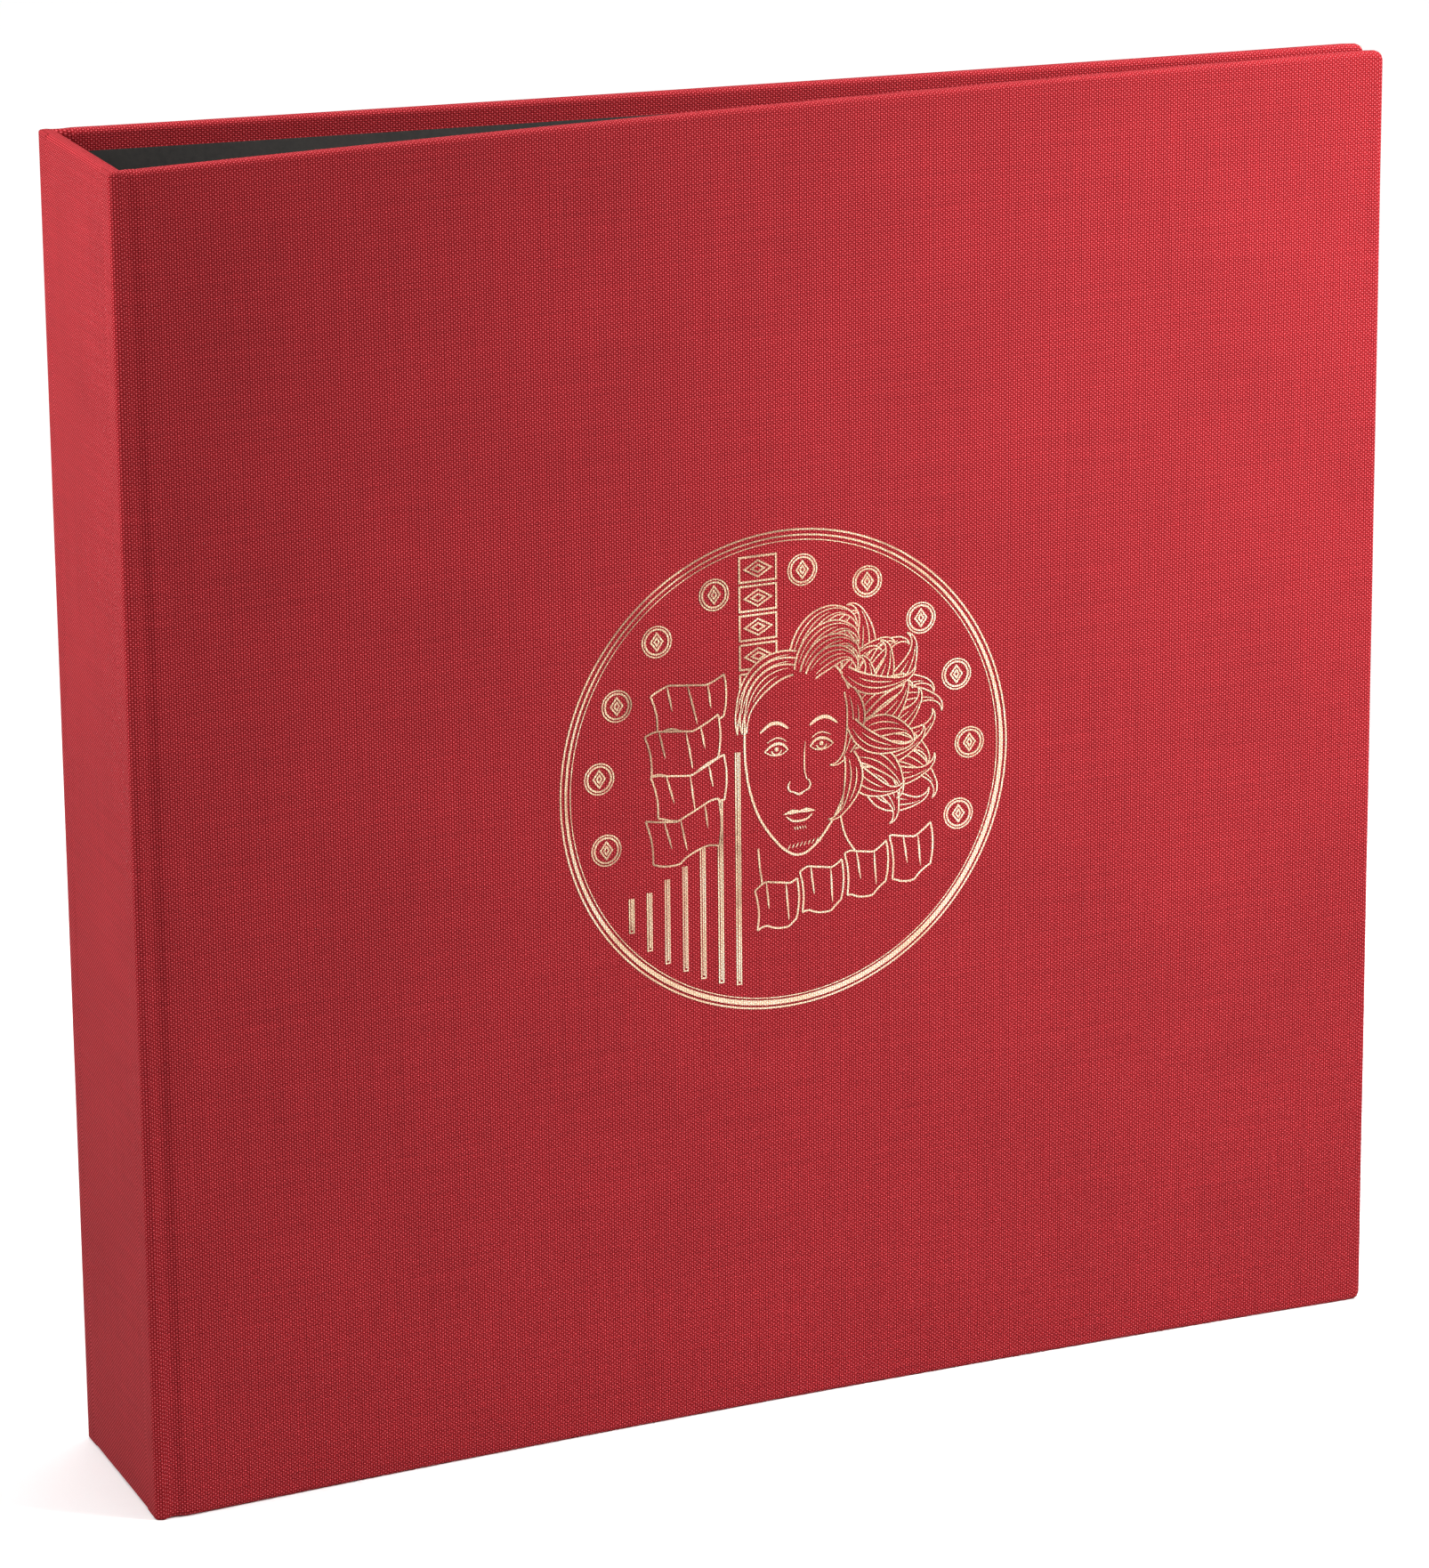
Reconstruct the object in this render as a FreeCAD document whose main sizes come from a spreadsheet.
"""Cloth-covered ring album for coins and stamps, standing upright and nearly closed.

A case of three greyboards in red book cloth, lined with black paper, holds a four-ring
mechanism riveted to the spine and eight leaves: four clear pocket pages, each followed by
a black interleaf. Row frame: +Z up, spine at -X, front cover facing -Y, origin at the
centre of the case's footprint. Millimetres.
"""
import FreeCAD, Part
import math
import os

import Sketcher
from FreeCAD import Placement, Rotation, Vector

OUT = "parts"
os.makedirs(OUT, exist_ok=True)
doc = FreeCAD.newDocument("album")

# ---------------------------------------------------------------- driving dimensions

DIMENSIONS = [
    ("case_height", 250.0),          # height of the covers and the spine
    ("case_depth", 254.0),           # spine's outer face to the fore-edge
    ("spine_width", 45.0),           # outside, over the cloth
    ("fore_edge_width", 11.0),       # outside, over both covers
    ("board_thick", 2.2),
    ("cloth_thick", 0.45),
    ("lining_thick", 0.25),
    ("cover_start", 5.5),            # spine's outer face to the covers' hinge ends
    ("board_inset", 0.8),            # cover's hinge end to its board
    ("front_bow", 3.0),              # how far each cover bows inwards over its length
    ("back_bow", 2.0),
    ("edge_round", 0.8),             # cloth's rounding over the board edges
    ("turn_in", 14.0),               # cloth folded over onto the inside of a board
    ("lining_inset", 4.0),           # red margin left round the black lining
    ("joint_inset", 1.3),            # the hinge cloth stops this far short of head and tail
    ("joint_dip", 1.2),              # depth of the hinge groove, to the back of its cloth
    ("joint_gap", 0.1),              # hinge strip to the spine and to the cover
    ("joint_lining_radius", 2.15),
    ("glue_gap", 0.05),
    ("spine_lining_half", 16.9),
    ("mech_length", 195.0),
    ("mech_width", 15.0),
    ("mech_height", 4.6),
    ("mech_sheet", 0.8),
    ("mech_shoulder", 2.0),          # how far the channel's top is narrower, each side
    ("lever_slot_length", 6.0),
    ("lever_slot_width", 7.8),
    ("ring_radius", 11.4),           # centre of the wire
    ("wire_radius", 1.4),
    ("ring_centre", 13.15),          # ring centre above the spine lining
    ("ring_sweep", 163.0),           # degrees of wire in each half
    ("tip_gap", 0.3),                # degrees
    ("inner_pitch", 65.0),           # between the two middle rings
    ("outer_pitch", 45.0),           # between a middle ring and its outer neighbour
    ("notch_width", 4.0),
    ("notch_start", 2.5),            # from the mechanism's middle
    ("rail_width", 6.2),
    ("rail_thick", 1.0),
    ("rail_length", 184.6),
    ("rail_gap", 0.15),              # from the mechanism's middle
    ("rail_lift", 1.05),             # under the rails, above the lining
    ("rivet_place", 55.0),           # above and below the middle
    ("rivet_radius", 2.5),
    ("rivet_head_radius", 4.2),
    ("rivet_head_thick", 1.2),
    ("rivet_flange_thick", 0.4),
    ("rivet_clearance", 0.9),
    ("lever_thick", 1.4),
    ("lever_width", 7.0),
    ("lever_reach", 13.0),
    ("lever_angle", 50.0),           # degrees above the spine at rest
    ("lever_nose", 1.6),
    ("lever_boss", 1.9),             # radius of the lever's eye
    ("lever_pin_radius", 0.8),
    ("lever_pin_clearance", 0.06),
    ("lever_pin_inset", 2.6),        # from the mechanism's end
    ("lever_pin_lift", 2.45),        # above the lining
    ("leaf_inner", 4.2),             # ring centre to the leaf's bound edge
    ("leaf_outer", 217.4),           # ring centre to the leaf's fore-edge
    ("leaf_height", 225.0),
    ("leaf_drop", 1.5),              # leaves hang with their slots on the rings
    ("leaf_pitch", 0.5),             # between the middles of neighbouring leaves
    ("slot_place", 12.2),            # ring centre to the slot's centre
    ("slot_length", 8.8),
    ("slot_width", 6.0),
    ("page_film", 0.15),
    ("card_thick", 0.25),
    ("pocket_area_inset", 22.0),     # bound edge to the first pocket column
    ("pocket_edge", 3.0),            # pockets to the leaf's other edges
    ("pocket_columns", 4.0),
    ("pocket_rows", 5.0),
    ("weld_width", 1.6),
    ("pocket_mouth", 2.2),           # slit at the head of each row of pockets
    ("film_gap", 0.1),               # air inside a pocket
    ("medal_radius", 46.2),
    ("medal_ring", 0.9),
    ("medal_inner_radius", 44.7),
    ("medal_inner_ring", 0.45),
    ("coin_circle", 38.3),
    ("coin_radius", 3.05),
    ("coin_ring", 0.4),
    ("foil_thick", 0.15),
]
LEAVES = 8
COIN_STEP_DEG = 20.9
COIN_RUNS = [(-20.0, 6), (112.1, 5)]  # each run's first angle, and how many coins
BAR_WIDTH = 1.1
BAR_PITCH = 3.67
FIRST_BAR = -31.9
# Head and foot of each upright bar, up from the middle of the medallion, left to right.
BARS = [
    (-23.4, -27.0), (-22.8, -31.0), (-20.7, -34.0), (-18.7, -36.0),
    (-12.3, -38.0), (-5.0, -39.4), (1.8, -40.3),
]

sheet = doc.addObject("Spreadsheet::Sheet", "Dims")
for row, (alias, value) in enumerate(DIMENSIONS, start=1):
    sheet.set(f"A{row}", alias)
    sheet.set(f"B{row}", str(value))
    sheet.setAlias(f"B{row}", alias)
doc.recompute()


def dim(alias):
    """A driving dimension, as an expression."""
    return f"Dims.{alias}"


def value(expression):
    """What an expression gives now, as a plain number in mm or degrees."""
    found = sheet.evalExpression(str(expression))
    return float(getattr(found, "Value", found))


def bind(obj, **expressions):
    """Binds properties to expressions; two underscores stand for a dot."""
    for name, expression in expressions.items():
        obj.setExpression(name.replace("__", "."), str(expression))
    return obj


# Derived lengths, as expressions of the driving ones.
HALF_DEPTH = f"{dim('case_depth')} / 2"
HALF_SPINE = f"{dim('spine_width')} / 2"
RUN = f"({dim('case_depth')} - {dim('cover_start')})"
RISE = f"(({dim('spine_width')} - {dim('fore_edge_width')}) / 2)"
CHORD = f"sqrt({RUN} ^ 2 + {RISE} ^ 2)"
CLOSING = f"atan({RISE} / {RUN})"
SPINE_X = f"(0 - {HALF_DEPTH})"
BOARD_X = f"({SPINE_X} + {dim('cloth_thick')})"
TURN_IN_X = f"({BOARD_X} + {dim('board_thick')})"
SPINE_INNER_X = f"({TURN_IN_X} + {dim('cloth_thick')})"
LINING_X = f"({SPINE_INNER_X} + {dim('lining_thick')})"
MECH_X = f"({LINING_X} + {dim('glue_gap')})"
RING_X = f"({LINING_X} + {dim('ring_centre')})"
RAIL_X = f"({LINING_X} + {dim('rail_lift')})"
MIDDLE = f"({dim('case_height')} / 2)"
LINING_BOARD = f"({dim('cloth_thick')} + {dim('board_thick')})"
COVER_THICK = f"({dim('cloth_thick')} * 2 + {dim('board_thick')})"
RING_PLACES = [
    f"(0 - {dim('inner_pitch')} / 2 - {dim('outer_pitch')})",
    f"(0 - {dim('inner_pitch')} / 2)",
    f"({dim('inner_pitch')} / 2)",
    f"({dim('inner_pitch')} / 2 + {dim('outer_pitch')})",
]

# ---------------------------------------------------------------- helpers

exported = []


def keep(obj, label):
    """Marks an object as a sub-part: its label names its STEP file."""
    obj.Label = label
    exported.append(obj)
    return obj


def box(name, low, high):
    """A box between two corners given as expressions."""
    b = doc.addObject("Part::Box", name)
    size = [f"({upper}) - ({lower})" for lower, upper in zip(low, high)]
    bind(b, Length=size[0], Width=size[1], Height=size[2])
    bind(b, Placement__Base__x=low[0], Placement__Base__y=low[1], Placement__Base__z=low[2])
    return b


def cylinder(name, radius, height, base, axis=None):
    """A cylinder from a base point, along Z or along the given axis."""
    c = doc.addObject("Part::Cylinder", name)
    if axis is not None:
        c.Placement = Placement(Vector(), Rotation(Vector(0, 0, 1), Vector(*axis)))
    bind(c, Radius=radius, Height=height)
    bind(c, Placement__Base__x=base[0], Placement__Base__y=base[1], Placement__Base__z=base[2])
    return c


def cut(name, base, tool):
    c = doc.addObject("Part::Cut", name)
    c.Base = base
    c.Tool = tool
    return c


def fuse(name, shapes):
    f = doc.addObject("Part::MultiFuse", name)
    f.Shapes = shapes
    return f


def ring_sector(name, centre, radii, start, sweep, low, high):
    """A curved upright plate: the part of a tube between two angles and two heights."""
    rods = []
    for which, radius in (("inner", radii[0]), ("outer", radii[1])):
        rod = doc.addObject("Part::Cylinder", f"{name}_{which}")
        bind(rod, Radius=radius, Height=f"({high}) - ({low})", Angle=sweep)
        bind(rod, Placement__Base__x=centre[0], Placement__Base__y=centre[1], Placement__Base__z=low)
        bind(rod, Placement__Rotation__Angle=start)
        rods.append(rod)
    return cut(name, rods[1], rods[0])


class Bow:
    """The bowed line of a cover in plan. side is -1 for the front cover and +1 for the back.

    Layers are measured inwards from the cover's outer face, and insets along it from its
    hinge end and its fore-edge.
    """

    def __init__(self, side, bow):
        self.side = side
        self.radius = f"(({CHORD} ^ 2 / 4 + {bow} ^ 2) / (2 * {bow}))"
        self.half = f"asin({CHORD} / 2 / {self.radius})"
        reach = f"({self.radius} - {bow})"
        self.centre = (
            f"({SPINE_X} + {dim('cover_start')} + {CHORD} / 2 * cos({CLOSING}) + {reach} * sin({CLOSING}))",
            f"({side} * ({HALF_SPINE} - {CHORD} / 2 * sin({CLOSING}) + {reach} * cos({CLOSING})))",
        )

    def plate(self, name, outer, inner, hinge_in, edge_in, low, high):
        along = f"({edge_in})" if self.side < 0 else f"({hinge_in})"
        inward = f"(90deg + {CLOSING})" if self.side < 0 else f"(270deg - {CLOSING})"
        return ring_sector(
            name,
            self.centre,
            (f"{self.radius} + {outer}", f"{self.radius} + {inner}"),
            f"{inward} - {self.half} + {along} / {self.radius} * 1rad",
            f"2 * {self.half} - (({hinge_in}) + ({edge_in})) / {self.radius} * 1rad",
            low,
            high,
        )

    def middle(self, outer):
        """The middle of a layer, and the direction out of the cover there."""
        x, y = (value(c) for c in self.centre)
        tilt = Rotation(Vector(0, 0, 1), -self.side * value(CLOSING))
        out = tilt.multVec(Vector(0, self.side, 0))
        return Vector(x, y, 0) - out * (value(self.radius) + outer), out


def body(name):
    return doc.addObject("PartDesign::Body", name)


def sketch_on(owner, role, name, offset=None):
    """A sketch on one of the body's own origin planes, moved along its normal by offset."""
    s = owner.newObject("Sketcher::SketchObject", name)
    plane = next(f for f in owner.Origin.OriginFeatures if f.Role == role)
    s.AttachmentSupport = (plane, [""])
    s.MapMode = "FlatFace"
    if offset is not None:
        bind(s, AttachmentOffset__Base__z=offset)
    return s


def place_point(s, geometry, vertex, point):
    """Binds a point of the sketch's geometry to two expressions."""
    for kind, expression in zip(("DistanceX", "DistanceY"), point):
        index = s.addConstraint(Sketcher.Constraint(kind, -1, 1, geometry, vertex, value(expression)))
        s.setExpression(f"Constraints[{index}]", str(expression))


def outline(s, points):
    """A closed polygon whose corners are bound to expressions."""
    xyz = [Vector(value(x), value(y), 0) for x, y in points]
    lines = [
        s.addGeometry(Part.LineSegment(a, b), False)
        for a, b in zip(xyz, xyz[1:] + xyz[:1])
    ]
    for a, b in zip(lines, lines[1:] + lines[:1]):
        s.addConstraint(Sketcher.Constraint("Coincident", a, 2, b, 1))
    for line, point in zip(lines, points):
        place_point(s, line, 1, point)


def rectangle(s, low, high):
    outline(s, [low, (high[0], low[1]), high, (low[0], high[1])])


def slot(s, centre, length, width):
    """A slot along the sketch's first axis."""
    reach, radius = f"(({length}) - ({width})) / 2", f"({width}) / 2"
    x, y, r = value(centre[0]), value(centre[1]), value(radius)
    ends = [x - value(reach), x + value(reach)]

    def end_arc(end, first):
        """Half a turn about one end of the slot."""
        whole = Part.Circle(Vector(end, y, 0), Vector(0, 0, 1), r)
        return s.addGeometry(Part.ArcOfCircle(whole, first, first + math.pi), False)

    def side_line(start, stop, height):
        line = Part.LineSegment(Vector(start, height, 0), Vector(stop, height, 0))
        return s.addGeometry(line, False)

    left, right = end_arc(ends[0], math.pi / 2), end_arc(ends[1], -math.pi / 2)
    low, high = side_line(*ends, y - r), side_line(*reversed(ends), y + r)
    for a, b, c, d in ((left, 2, low, 1), (low, 2, right, 1), (right, 2, high, 1), (high, 2, left, 1)):
        s.addConstraint(Sketcher.Constraint("Tangent", a, b, c, d))
    s.addConstraint(Sketcher.Constraint("Equal", left, right))
    place_point(s, left, 3, (f"{centre[0]} - {reach}", centre[1]))
    place_point(s, right, 3, (f"{centre[0]} + {reach}", centre[1]))
    index = s.addConstraint(Sketcher.Constraint("Radius", left, r))
    s.setExpression(f"Constraints[{index}]", radius)


def circle(s, centre, radius):
    middle = Vector(value(centre[0]), value(centre[1]), 0)
    c = s.addGeometry(Part.Circle(middle, Vector(0, 0, 1), value(radius)), False)
    place_point(s, c, 3, centre)
    index = s.addConstraint(Sketcher.Constraint("Radius", c, value(radius)))
    s.setExpression(f"Constraints[{index}]", str(radius))


def pad(owner, s, length, name):
    p = owner.newObject("PartDesign::Pad", name)
    p.Profile = s
    bind(p, Length=length)
    return p


def pocket(owner, s, name, length=None, reverse=False):
    """A pocket to a depth, or through everything, that has to take material away."""
    doc.recompute()
    before = owner.Shape.Volume
    p = owner.newObject("PartDesign::Pocket", name)
    p.Profile = s
    p.Reversed = reverse
    if length is None:
        p.Type = "ThroughAll"
    else:
        bind(p, Length=length)
    doc.recompute()
    if owner.Shape.Volume >= before - 1e-6:
        raise RuntimeError(f"{name} cuts nothing")
    return p


def round_edges(name, base, radius, chosen):
    """A Part fillet on the edges that chosen accepts."""
    doc.recompute()
    f = doc.addObject("Part::Fillet", name)
    f.Base = base
    f.Edges = [
        (n, value(radius), value(radius))
        for n, edge in enumerate(base.Shape.Edges, start=1)
        if chosen(edge)
    ]
    return f


# ---------------------------------------------------------------- the case


def cover(side, word, bow_alias):
    """Board, cloth, lining and hinge strips of one cover. side is -1 for the front."""
    bow = Bow(side, dim(bow_alias))
    top = dim("case_height")
    cloth, turn = dim("cloth_thick"), dim("turn_in")

    board = keep(
        bow.plate(
            f"{word}_board", cloth, LINING_BOARD, dim("board_inset"), cloth, cloth, f"{top} - {cloth}"
        ),
        f"{word}_board",
    )
    envelope = bow.plate(f"{word}_envelope", "0", COVER_THICK, "0", "0", "0", top)
    hinge_x = value(SPINE_X) + value(dim("cover_start"))

    def free_edge(edge):
        """Every edge of the envelope but those of its hinge end."""
        return edge.CenterOfMass.x > hinge_x + 1.0

    wrapped = round_edges(f"{word}_wrapped", envelope, dim("edge_round"), free_edge)
    window = bow.plate(
        f"{word}_window", LINING_BOARD, f"{COVER_THICK} + 1", "0 - 1", turn, turn, f"{top} - {turn}"
    )
    hollow = fuse(f"{word}_hollow", [board, window])
    keep(cut(f"{word}_cover_cloth", wrapped, hollow), f"{word}_cover_cloth")

    inset, thick = dim("lining_inset"), dim("lining_thick")
    filler = bow.plate(
        f"{word}_filler", LINING_BOARD, COVER_THICK, dim("glue_gap") + " * 2", turn, turn, f"{top} - {turn}"
    )
    paper = bow.plate(
        f"{word}_paper",
        COVER_THICK,
        f"{COVER_THICK} + {thick}",
        dim("glue_gap") + " * 2",
        inset,
        inset,
        f"{top} - {inset}",
    )
    keep(fuse(f"{word}_lining", [filler, paper]), f"{word}_lining")
    hinge_strips(side, word)
    return bow


def hinge_strips(side, word):
    """The cloth groove outside a hinge and the lining's rounded corner inside it."""
    joint_run = f"({dim('cover_start')} - {dim('cloth_thick')} - {dim('board_thick')})"
    chord = f"({joint_run} - 2 * {dim('joint_gap')})"
    dip = dim("joint_dip")
    radius = f"(({chord} ^ 2 / 4 + {dip} ^ 2) / (2 * {dip}))"
    half = f"asin({chord} / 2 / {radius})"
    low, high = dim("joint_inset"), f"{dim('case_height')} - {dim('joint_inset')}"
    keep(
        ring_sector(
            f"{word}_joint_cloth",
            (
                f"({TURN_IN_X} + {joint_run} / 2)",
                f"({side} * ({HALF_SPINE} + {radius} - {dip}))",
            ),
            (f"{radius} - {dim('cloth_thick')}", radius),
            f"{90 if side < 0 else 270}deg - {half}",
            f"2 * {half}",
            low,
            high,
        ),
        f"{word}_joint_cloth",
    )
    corner = dim("joint_lining_radius")
    keep(
        ring_sector(
            f"{word}_joint_lining",
            (
                f"({SPINE_INNER_X} + {dim('glue_gap')} + {corner})",
                f"({side} * {dim('spine_lining_half')})",
            ),
            (f"{corner} - {dim('lining_thick')}", corner),
            "180deg" if side < 0 else "90deg",
            "90deg",
            dim("lining_inset"),
            f"{dim('case_height')} - {dim('lining_inset')}",
        ),
        f"{word}_joint_lining",
    )


def spine():
    """The spine's board with its two rivet holes, its cloth and its lining."""
    top = dim("case_height")
    cloth, turn, inset = dim("cloth_thick"), dim("turn_in"), dim("lining_inset")
    side = f"({HALF_SPINE} - {cloth})"
    blank = box("spine_blank", (BOARD_X, f"(0 - {side})", cloth), (TURN_IN_X, side, f"{top} - {cloth}"))
    holes = []
    for n, sign in enumerate((-1, 1)):
        z = f"{MIDDLE} + {sign} * {dim('rivet_place')}"
        holes.append(
            cylinder(f"spine_hole_{n}", dim("rivet_radius"), dim("board_thick"), (BOARD_X, "0", z), (1, 0, 0))
        )
        holes.append(
            cylinder(
                f"spine_recess_{n}",
                dim("rivet_head_radius"),
                dim("rivet_flange_thick"),
                (BOARD_X, "0", z),
                (1, 0, 0),
            )
        )
    drilled = fuse("spine_holes", holes)
    keep(cut("spine_board", blank, drilled), "spine_board")

    shell = box("spine_shell", (SPINE_X, f"(0 - {HALF_SPINE})", "0"), (TURN_IN_X, HALF_SPINE, top))
    inner_x = value(TURN_IN_X)

    def outer_edge(edge):
        """Every edge of the shell but those round its inner side."""
        return edge.CenterOfMass.x < inner_x - 0.01

    wrapped = round_edges("spine_wrapped", shell, dim("edge_round"), outer_edge)
    flap = f"({side} - {dim('board_thick')})"
    flaps = [
        box("spine_flap_low", (TURN_IN_X, f"(0 - {flap})", "0"), (SPINE_INNER_X, flap, turn)),
        box("spine_flap_high", (TURN_IN_X, f"(0 - {flap})", f"{top} - {turn}"), (SPINE_INNER_X, flap, top)),
    ]
    folded = fuse("spine_folded", [wrapped, *flaps])
    board_space = box(
        "spine_board_space", (BOARD_X, f"(0 - {side})", cloth), (TURN_IN_X, side, f"{top} - {cloth}")
    )
    keep(cut("spine_cloth", folded, board_space), "spine_cloth")

    half = dim("spine_lining_half")
    paper = box("spine_paper", (SPINE_INNER_X, f"(0 - {half})", inset), (LINING_X, half, f"{top} - {inset}"))
    filler = box("spine_filler", (TURN_IN_X, f"(0 - {half})", turn), (SPINE_INNER_X, half, f"{top} - {turn}"))
    whole = fuse("spine_lining_blank", [paper, filler])
    bores = [
        cylinder(
            f"lining_hole_{n}",
            dim("rivet_radius"),
            f"{LINING_X} - {TURN_IN_X}",
            (TURN_IN_X, "0", f"{MIDDLE} + {sign} * {dim('rivet_place')}"),
            (1, 0, 0),
        )
        for n, sign in enumerate((-1, 1))
    ]
    keep(cut("spine_lining", whole, fuse("lining_holes", bores)), "spine_lining")


# ---------------------------------------------------------------- the ring mechanism


def mechanism_cover():
    """The sprung channel over the rails, with a notch for each ring leg."""
    b = body("MechanismCover")
    half, thick = f"({dim('mech_width')} / 2)", dim("mech_sheet")
    top = f"({MECH_X} + {dim('mech_height')})"
    step = dim("mech_shoulder")
    profile = sketch_on(b, "XY_Plane", "MechanismSection", f"{MIDDLE} - {dim('mech_length')} / 2")
    outside = [
        (MECH_X, half),
        (f"{top} - {step}", half),
        (top, f"{half} - {step}"),
    ]
    inside = [
        (MECH_X, f"{half} - {thick}"),
        (f"{top} - {step} - {thick} / 2", f"{half} - {thick}"),
        (f"{top} - {thick}", f"{half} - {step} - {thick} / 2"),
    ]
    mirrored = [(x, f"(0 - ({y}))") for x, y in reversed(outside)]
    mirrored_inside = [(x, f"(0 - ({y}))") for x, y in inside]
    outline(profile, outside + mirrored + mirrored_inside + list(reversed(inside)))
    pad(b, profile, dim("mech_length"), "MechanismPad")

    notches = sketch_on(b, "YZ_Plane", "RingNotches", f"{RAIL_X} + {dim('rail_thick')} / 2")
    for place in RING_PLACES:
        z = f"({MIDDLE} + {place})"
        wide = f"{dim('notch_width')} / 2"
        for sign in (-1, 1):
            near, far = f"{sign} * {dim('notch_start')}", f"{sign} * ({half} + 1)"
            first, last = (far, near) if sign < 0 else (near, far)
            rectangle(notches, (first, f"{z} - {wide}"), (last, f"{z} + {wide}"))
    pocket(b, notches, "RingNotchCuts", reverse=True)

    ends = sketch_on(b, "YZ_Plane", "LeverSlots", f"{RAIL_X} + {dim('rail_thick')} / 2")
    wide = f"({dim('lever_slot_width')} / 2)"
    for sign in (-1, 1):
        end = f"{MIDDLE} + {sign} * {dim('mech_length')} / 2"
        start = f"{end} - {sign} * {dim('lever_slot_length')}"
        stop = f"{end} + {sign} * 1"
        low, high = (stop, start) if sign < 0 else (start, stop)
        rectangle(ends, (f"0 - {wide}", low), (wide, high))
    pocket(b, ends, "LeverSlotCuts", reverse=True)

    rivets = sketch_on(b, "YZ_Plane", "RivetHoles", f"{RAIL_X} + {dim('rail_thick')} / 2")
    for sign in (-1, 1):
        circle(rivets, ("0", f"{MIDDLE} + {sign} * {dim('rivet_place')}"), dim("rivet_radius"))
    pocket(b, rivets, "RivetHoleCuts", reverse=True)

    pins = sketch_on(b, "XZ_Plane", "PinHoles", f"{half} + 1")
    for sign in (-1, 1):
        circle(pins, lever_pivot(sign), dim("lever_pin_radius"))
    pocket(b, pins, "PinHoleCuts")
    keep(b, "mechanism_cover")


def lever_pivot(sign):
    """X and Z of a lever's pin; sign is +1 for the upper lever."""
    z = f"{MIDDLE} + {sign} * ({dim('mech_length')} / 2 - {dim('lever_pin_inset')})"
    return f"{LINING_X} + {dim('lever_pin_lift')}", z


def lever(sign, word):
    """A finger tab with an eye round its pin. It leans back over the mechanism's end."""
    x, z = lever_pivot(sign)
    b = body(f"{word.capitalize()}Lever")
    half = f"({dim('lever_thick')} / 2)"
    turn, reach, nose = dim("lever_angle"), dim("lever_reach"), dim("lever_nose")

    def corner(along, across):
        """A point in the lever's own direction from the pin."""
        return (
            f"{x} + ({along}) * sin({turn} * 1deg) - ({across}) * cos({turn} * 1deg)",
            f"{z} + {sign} * (({along}) * cos({turn} * 1deg) + ({across}) * sin({turn} * 1deg))",
        )

    start = f"(0 - {dim('lever_width')} / 2)"
    plan = sketch_on(b, "XZ_Plane", f"{word}_lever_tab", start)
    corners = [
        corner(f"0 - {nose}", f"0 - {half}"),
        corner(reach, f"0 - {half}"),
        corner(f"{reach} + 1.2", f"0 - {half} - 1.0"),
        corner(f"{reach} + 1.9", f"0 - {half} - 0.1"),
        corner(reach, half),
        corner(f"0 - {nose}", half),
    ]
    outline(plan, corners)
    pad(b, plan, dim("lever_width"), f"{word}_lever_pad")
    eye = sketch_on(b, "XZ_Plane", f"{word}_lever_eye", start)
    circle(eye, (x, z), dim("lever_boss"))
    pad(b, eye, dim("lever_width"), f"{word}_lever_eye_pad")
    bore = sketch_on(b, "XZ_Plane", f"{word}_lever_bore", f"{start} - 1")
    circle(bore, (x, z), f"{dim('lever_pin_radius')} + {dim('lever_pin_clearance')}")
    pocket(b, bore, f"{word}_lever_bore_cut", reverse=True)
    keep(b, f"{word}_lever")

    half_width = f"({dim('mech_width')} / 2)"
    keep(
        cylinder(
            f"{word}_lever_pin",
            dim("lever_pin_radius"),
            dim("mech_width"),
            (x, f"0 - {half_width}", z),
            (0, 1, 0),
        ),
        f"{word}_lever_pin",
    )


def rail(side, word):
    """One of the two toggling rails, notched round the rivets, and its four half rings."""
    inner, outer = dim("rail_gap"), f"({dim('rail_gap')} + {dim('rail_width')})"
    low_y, high_y = (f"(0 - {outer})", f"(0 - {inner})") if side < 0 else (inner, outer)
    half = f"{dim('rail_length')} / 2"
    strip = box(
        f"{word}_strip",
        (RAIL_X, low_y, f"{MIDDLE} - {half}"),
        (f"({RAIL_X} + {dim('rail_thick')})", high_y, f"{MIDDLE} + {half}"),
    )
    clearances = [
        cylinder(
            f"{word}_rivet_space_{n}",
            f"{dim('rivet_radius')} + {dim('rivet_clearance')}",
            f"{dim('rail_thick')} + 2",
            (f"{RAIL_X} - 1", "0", f"{MIDDLE} + {sign} * {dim('rivet_place')}"),
            (1, 0, 0),
        )
        for n, sign in enumerate((-1, 1))
    ]
    keep(cut(f"{word}_rail_cut", strip, fuse(f"{word}_rivet_spaces", clearances)), f"{word}_rail")

    for n, place in enumerate(RING_PLACES, start=1):
        half_ring(side, word, n, f"({MIDDLE} + {place})")


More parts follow.
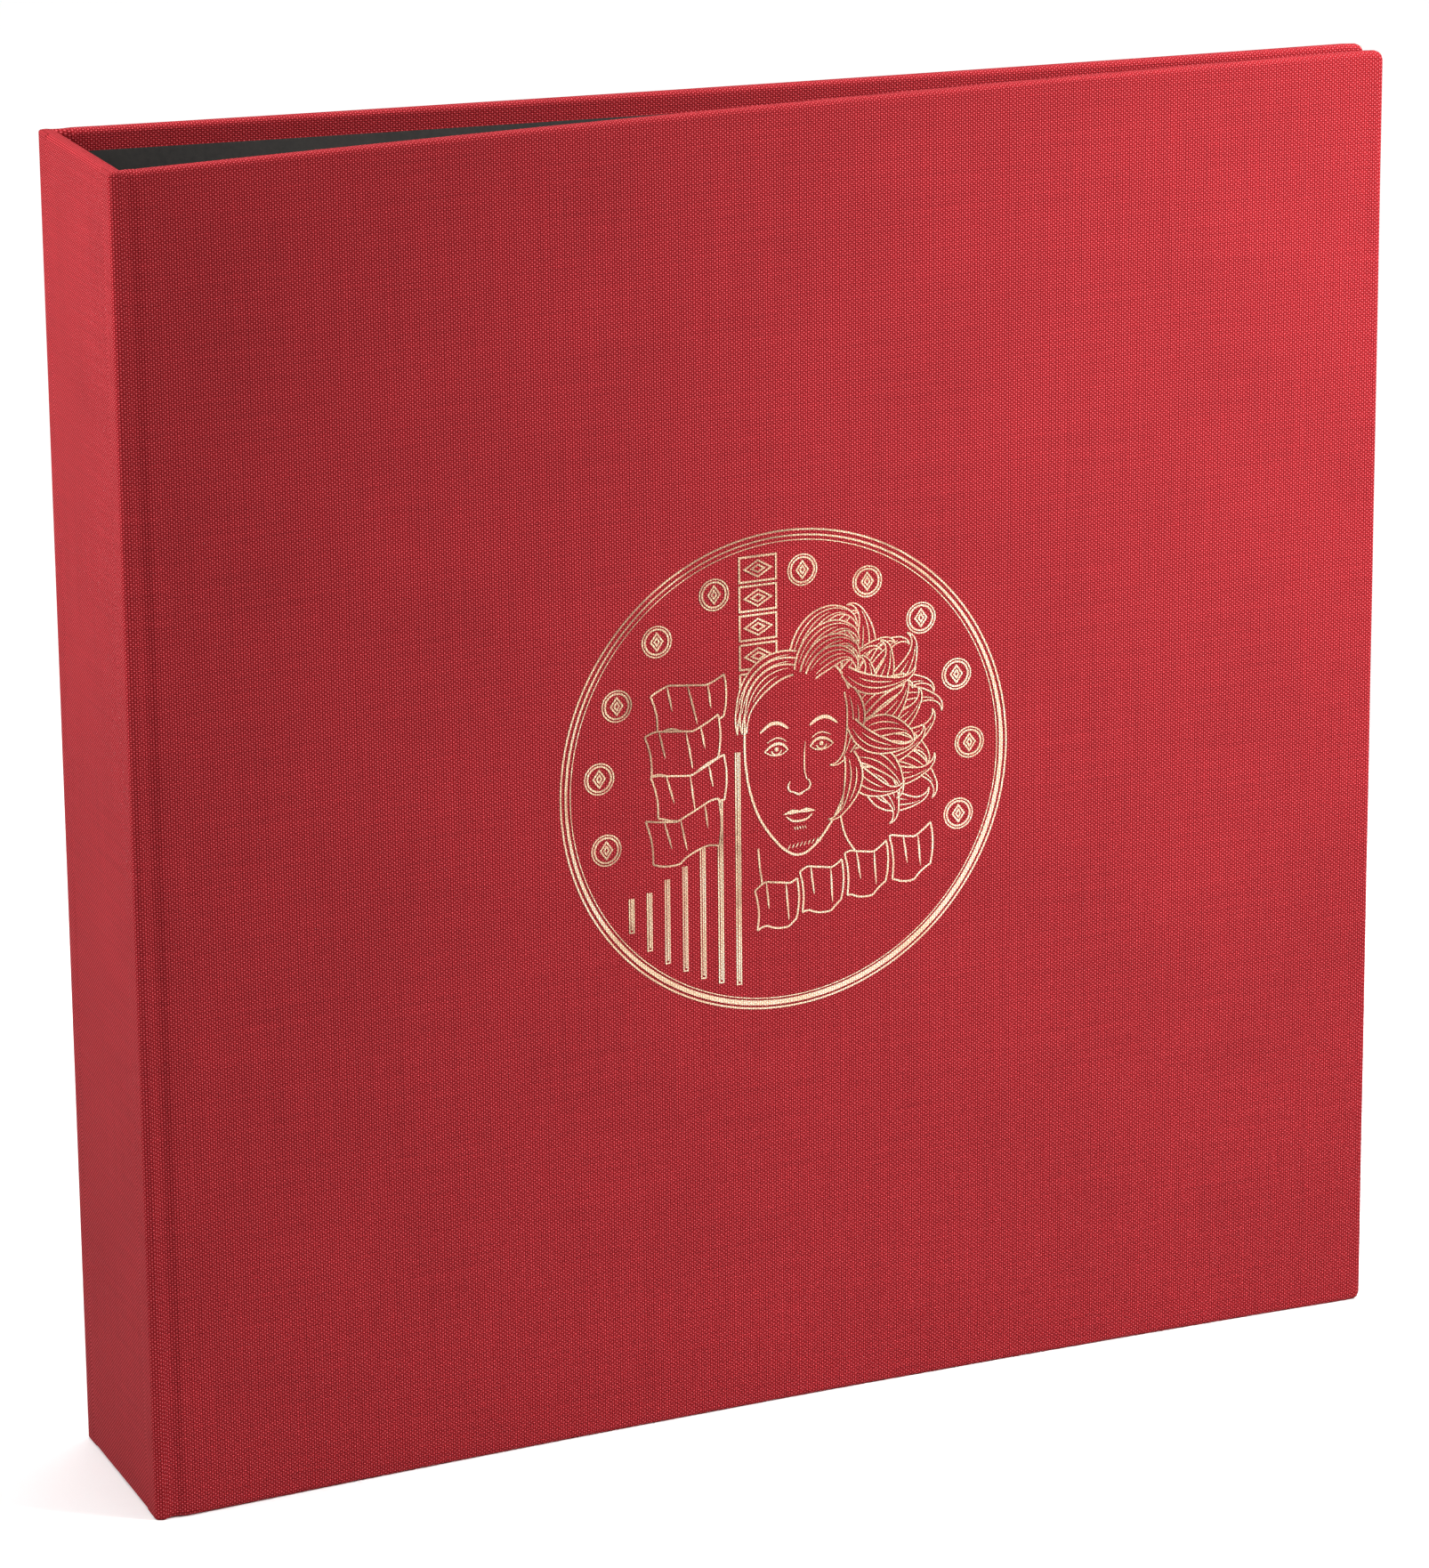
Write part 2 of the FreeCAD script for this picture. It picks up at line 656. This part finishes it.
def half_ring(side, word, n, z):
    """Half a ring of wire, cut off flat where it stands on its rail."""
    wire = doc.addObject("Part::Torus", f"{word}_wire_{n}")
    first = dim("tip_gap") if side > 0 else f"0 - {dim('ring_sweep')}"
    bind(
        wire,
        Radius1=dim("ring_radius"),
        Radius2=dim("wire_radius"),
        Angle3=f"{dim('ring_sweep')} - {dim('tip_gap')}",
        Placement__Base__x=RING_X,
        Placement__Base__z=z,
        Placement__Rotation__Angle=first,
    )
    reach = f"({dim('ring_radius')} + {dim('wire_radius')} * 2)"
    below = box(
        f"{word}_below_{n}",
        (f"{RAIL_X} - 5", f"0 - {reach}", f"{z} - 3"),
        (f"({RAIL_X} + {dim('rail_thick')})", reach, f"{z} + 3"),
    )
    keep(cut(f"{word}_ring_cut_{n}", wire, below), f"{word}_ring_half_{n}")


def rivet(sign, word):
    """A rivet from the channel's top, between the rails, to a flange under the spine cloth."""
    b = body(f"{word.capitalize()}Rivet")
    profile = sketch_on(b, "XY_Plane", f"{word}_rivet_profile")
    top = f"({MECH_X} + {dim('mech_height')})"
    stem, head = dim("rivet_radius"), dim("rivet_head_radius")
    outline(
        profile,
        [
            (BOARD_X, "0"),
            (BOARD_X, head),
            (f"{BOARD_X} + {dim('rivet_flange_thick')}", head),
            (f"{BOARD_X} + {dim('rivet_flange_thick')}", stem),
            (top, stem),
            (top, head),
            (f"{top} + {dim('rivet_head_thick')} / 3", head),
            (f"{top} + {dim('rivet_head_thick')} * 0.8", f"{head} * 0.7"),
            (f"{top} + {dim('rivet_head_thick')}", f"{head} * 0.3"),
            (f"{top} + {dim('rivet_head_thick')}", "0"),
        ],
    )
    turned = b.newObject("PartDesign::Revolution", f"{word}_rivet_turned")
    turned.Profile = profile
    turned.ReferenceAxis = (profile, ["H_Axis"])
    turned.Angle = 360
    bind(b, Placement__Base__z=f"{MIDDLE} + {sign} * {dim('rivet_place')}")
    keep(b, f"{word}_rivet")


# ---------------------------------------------------------------- the leaves


def leaf_outline(b, name, y):
    """The leaf's rectangle with its four ring slots, on the plane at y."""
    s = sketch_on(b, "XZ_Plane", name, f"0 - ({y})")
    half = f"{dim('leaf_height')} / 2"
    middle = f"({MIDDLE} - {dim('leaf_drop')})"
    rectangle(
        s,
        (f"{RING_X} + {dim('leaf_inner')}", f"{middle} - {half}"),
        (f"{RING_X} + {dim('leaf_outer')}", f"{middle} + {half}"),
    )
    for place in RING_PLACES:
        centre = (f"{RING_X} + {dim('slot_place')}", f"({middle} + {place})")
        slot(s, centre, dim("slot_length"), dim("slot_width"))
    return s


def leaf_place(n):
    """Y of the middle of leaf n, counted from the front cover."""
    return f"({dim('leaf_pitch')} * {n - (LEAVES + 1) / 2})"


def interleaf(n, number):
    """A card leaf between two pocket pages."""
    b = body(f"Interleaf{number}")
    back = f"{leaf_place(n)} + {dim('card_thick')} / 2"
    pad(b, leaf_outline(b, f"interleaf_outline_{number}", back), dim("card_thick"), f"interleaf_pad_{number}")
    keep(b, f"interleaf_{number}")


def pocket_page(n, number):
    """A page of clear film with a second film welded to it as rows of pockets."""
    film, gap = dim("page_film"), dim("film_gap")
    front_y = f"({leaf_place(n)} - {film} - {gap} / 2)"
    b = body(f"PocketPage{number}")
    back = f"({leaf_place(n)} + {film} + {gap} / 2)"
    pad(b, leaf_outline(b, f"page_outline_{number}", back), film, f"page_pad_{number}")
    keep(b, f"pocket_page_{number}")

    left = f"({RING_X} + {dim('leaf_inner')} + {dim('pocket_area_inset')})"
    right = f"({RING_X} + {dim('leaf_outer')} - {dim('pocket_edge')})"
    middle = f"({MIDDLE} - {dim('leaf_drop')})"
    low = f"({middle} - {dim('leaf_height')} / 2 + {dim('pocket_edge')})"
    high = f"({middle} + {dim('leaf_height')} / 2 - {dim('pocket_edge')})"
    weld = dim("weld_width")
    pitch_x = f"(({right} - {left} - {weld}) / {dim('pocket_columns')})"
    pitch_z = f"(({high} - {low} - {weld}) / {dim('pocket_rows')})"

    f = body(f"PocketFront{number}")
    join = f"({back} - {film})"
    sheet_outline = sketch_on(f, "XZ_Plane", f"front_outline_{number}", f"0 - {join}")
    rectangle(sheet_outline, (left, low), (right, high))
    pad(f, sheet_outline, f"{join} - {front_y}", f"front_pad_{number}")

    columns = int(value(dim("pocket_columns")))
    lefts = [f"({left} + {column} * {pitch_x})" for column in range(columns)]
    cells = sketch_on(f, "XZ_Plane", f"front_cells_{number}", f"0 - {join}")
    for x in lefts:
        rectangle(cells, (f"{x} + {weld}", f"{low} + {weld}"), (f"{x} + {pitch_x}", f"{low} + {pitch_z}"))
    sunk = pocket(f, cells, f"front_cell_cuts_{number}", length=gap, reverse=True)

    mouths = sketch_on(f, "XZ_Plane", f"front_mouths_{number}", f"0 - {join}")
    mouth = dim("pocket_mouth")
    for x in lefts:
        corner = (f"{x} + {weld} * 2", f"{low} + {pitch_z} - {mouth}")
        rectangle(mouths, corner, (f"{x} + {pitch_x} - {weld}", f"{low} + {pitch_z} - {mouth} * 0.2"))
    slit = pocket(f, mouths, f"front_mouth_cuts_{number}", reverse=True)

    rows = f.newObject("PartDesign::LinearPattern", f"front_rows_{number}")
    rows.Originals = [sunk, slit]
    rows.Direction = (cells, ["V_Axis"])
    bind(rows, Length=f"{pitch_z} * ({dim('pocket_rows')} - 1)", Occurrences=dim("pocket_rows"))
    f.Tip = rows
    keep(f, f"pocket_front_{number}")


# ---------------------------------------------------------------- the foil medallion


def medallion(bow):
    """Stamped foil: two rings, a round of small coin outlines and a row of upright bars."""
    face, out = bow.middle(0.0)
    foil = bow.plate("foil_layer", f"0 - {dim('foil_thick')}", "0", "50", "50", "60", "190")
    doc.recompute()
    across = Rotation(Vector(0, 0, 1), value(CLOSING)).multVec(Vector(1, 0, 0))
    middle = face + Vector(0, 0, value(MIDDLE))

    def prism(radius, u, v):
        """A cylinder through the cover's face at u across and v up from the middle."""
        base = middle + across * u + Vector(0, 0, v) - out * 5
        return Part.makeCylinder(radius, 10, base, out)

    def tube(radius, width, u=0.0, v=0.0):
        return prism(radius, u, v).cut(prism(radius - width, u, v))

    rings = [
        tube(value(dim("medal_radius")), value(dim("medal_ring"))),
        tube(value(dim("medal_inner_radius")), value(dim("medal_inner_ring"))),
    ]
    orbit = Vector(value(dim("coin_circle")), 0, 0)
    for first, count in COIN_RUNS:
        for n in range(count):
            place = Rotation(Vector(0, 0, 1), first + n * COIN_STEP_DEG).multVec(orbit)
            rings.append(tube(value(dim("coin_radius")), value(dim("coin_ring")), place.x, place.y))
    turned = Rotation(Vector(0, 0, 1), value(CLOSING))
    for n, (high, low) in enumerate(BARS):
        u = FIRST_BAR + BAR_PITCH * n - BAR_WIDTH / 2
        bar = Part.makeBox(BAR_WIDTH, 10, high - low)
        base = middle + across * u + Vector(0, 0, low) - turned.multVec(Vector(0, 5, 0))
        bar.Placement = Placement(base, turned)
        rings.append(bar)

    stamped = doc.addObject("Part::Feature", "foil_stamping")
    solids = [s for shape in rings for s in shape.common(foil.Shape).Solids]
    stamped.Shape = Part.makeCompound(solids)
    stamped.Placement = Placement()
    keep(stamped, "foil_medallion")


# ---------------------------------------------------------------- build and export

spine()
front = cover(-1, "front", "front_bow")
cover(1, "back", "back_bow")
mechanism_cover()
for sign, word in ((1, "upper"), (-1, "lower")):
    lever(sign, word)
    rivet(sign, word)
rail(-1, "front")
rail(1, "back")
for n in range(1, LEAVES + 1, 2):
    pocket_page(n, (n + 1) // 2)
    interleaf(n + 1, (n + 1) // 2)
medallion(front)

doc.recompute()
broken = [o.Name for o in doc.Objects if {"Invalid", "Error"} & set(o.State)]
if broken:
    raise RuntimeError(f"failed objects: {broken}")
for obj in exported:
    if obj.Shape.isNull() or not obj.Shape.isValid() or not obj.Shape.Solids:
        raise RuntimeError(f"{obj.Label} has no valid solid")
for obj in exported:
    obj.Shape.exportStep(os.path.join(OUT, f"{obj.Label}.step"))
print(f"wrote {len(exported)} sub-parts")
